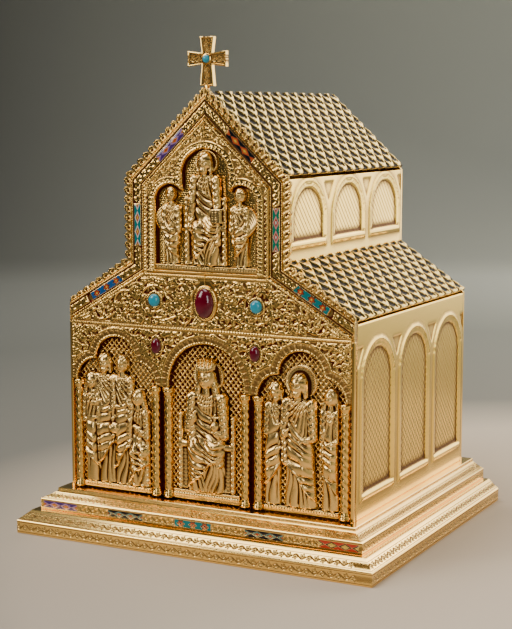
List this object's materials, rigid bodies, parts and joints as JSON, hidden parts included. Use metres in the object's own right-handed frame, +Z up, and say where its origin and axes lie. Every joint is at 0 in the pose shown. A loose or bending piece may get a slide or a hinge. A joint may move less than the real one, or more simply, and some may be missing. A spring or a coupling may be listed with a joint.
{
  "type": "altar tabernacle",
  "caption": "Gilt altar tabernacle shaped as a small aisled church, with a gabled front of relief figures under arches, two hinged door leaves, enamel plates, scale-tiled roofs and a cross.",
  "frame": {"origin": "centre of the underside of the plinth", "axes": "+Z up, doors face -Y, +X to the right when seen from the front"},
  "size_m": [0.47, 0.421, 0.594],
  "materials": {
    "polished_gilt": "polished gilding",
    "light_gilt": "polished, paler gilding",
    "enamel_teal": "glossy enamel",
    "enamel_dark": "glossy enamel",
    "garnet": "polished stone",
    "turquoise": "polished stone"
  },
  "bodies": {
    "cabinet": {"base_slab": "light_gilt", "plinth_frieze": "light_gilt", "top_step": "light_gilt", "frieze_enamel_1": "enamel_dark", "frieze_enamel_2": "enamel_teal", "frieze_enamel_3": "enamel_teal", "frieze_enamel_4": "enamel_teal", "frieze_enamel_5": "enamel_dark", "right_aisle_wall": "light_gilt", "left_aisle_wall": "light_gilt", "right_nave_wall": "light_gilt", "left_nave_wall": "light_gilt", "back_wall": "light_gilt", "right_aisle_roof": "polished_gilt", "left_aisle_roof": "polished_gilt", "right_nave_roof": "polished_gilt", "left_nave_roof": "polished_gilt", "band_enamel_right_aisle": "enamel_teal", "band_enamel_right_nave": "enamel_teal", "band_enamel_right_gable": "enamel_dark", "band_enamel_left_gable": "enamel_dark", "band_enamel_left_nave": "enamel_teal", "band_enamel_left_aisle": "enamel_teal", "door_frame": "polished_gilt", "openwork_cresting": "polished_gilt", "gable_cross": "polished_gilt", "cross_turquoise": "turquoise"},
    "right_door": {"right_door_leaf": "polished_gilt", "right_colonnette_inner": "polished_gilt", "right_colonnette_middle": "polished_gilt", "right_colonnette_outer": "polished_gilt", "oval_bezel": "polished_gilt", "large_garnet": "garnet", "right_turquoise": "turquoise", "right_small_garnet": "garnet", "centre_seated_figure": "polished_gilt", "right_niche_group": "polished_gilt", "gable_seated_figure": "polished_gilt", "gable_right_attendant": "polished_gilt"},
    "left_door": {"left_door_leaf": "polished_gilt", "left_colonnette_inner": "polished_gilt", "left_colonnette_middle": "polished_gilt", "left_colonnette_outer": "polished_gilt", "left_turquoise": "turquoise", "left_small_garnet": "garnet", "left_niche_group": "polished_gilt", "gable_left_attendant": "polished_gilt"}
  },
  "joints": [
    {"name": "right_door_hinge", "type": "hinge", "parent": "cabinet", "child": "right_door", "pos_m": [0.186, -0.158, 0.18], "axis": [0, 0, 1], "range_deg": [0, 100]},
    {"name": "left_door_hinge", "type": "hinge", "parent": "cabinet", "child": "left_door", "pos_m": [-0.186, -0.158, 0.18], "axis": [0, 0, -1], "range_deg": [0, 100]}
  ],
  "couplings": [
    {"joint": "left_door_hinge", "follows": "right_door_hinge", "ratio": 1}
  ]
}
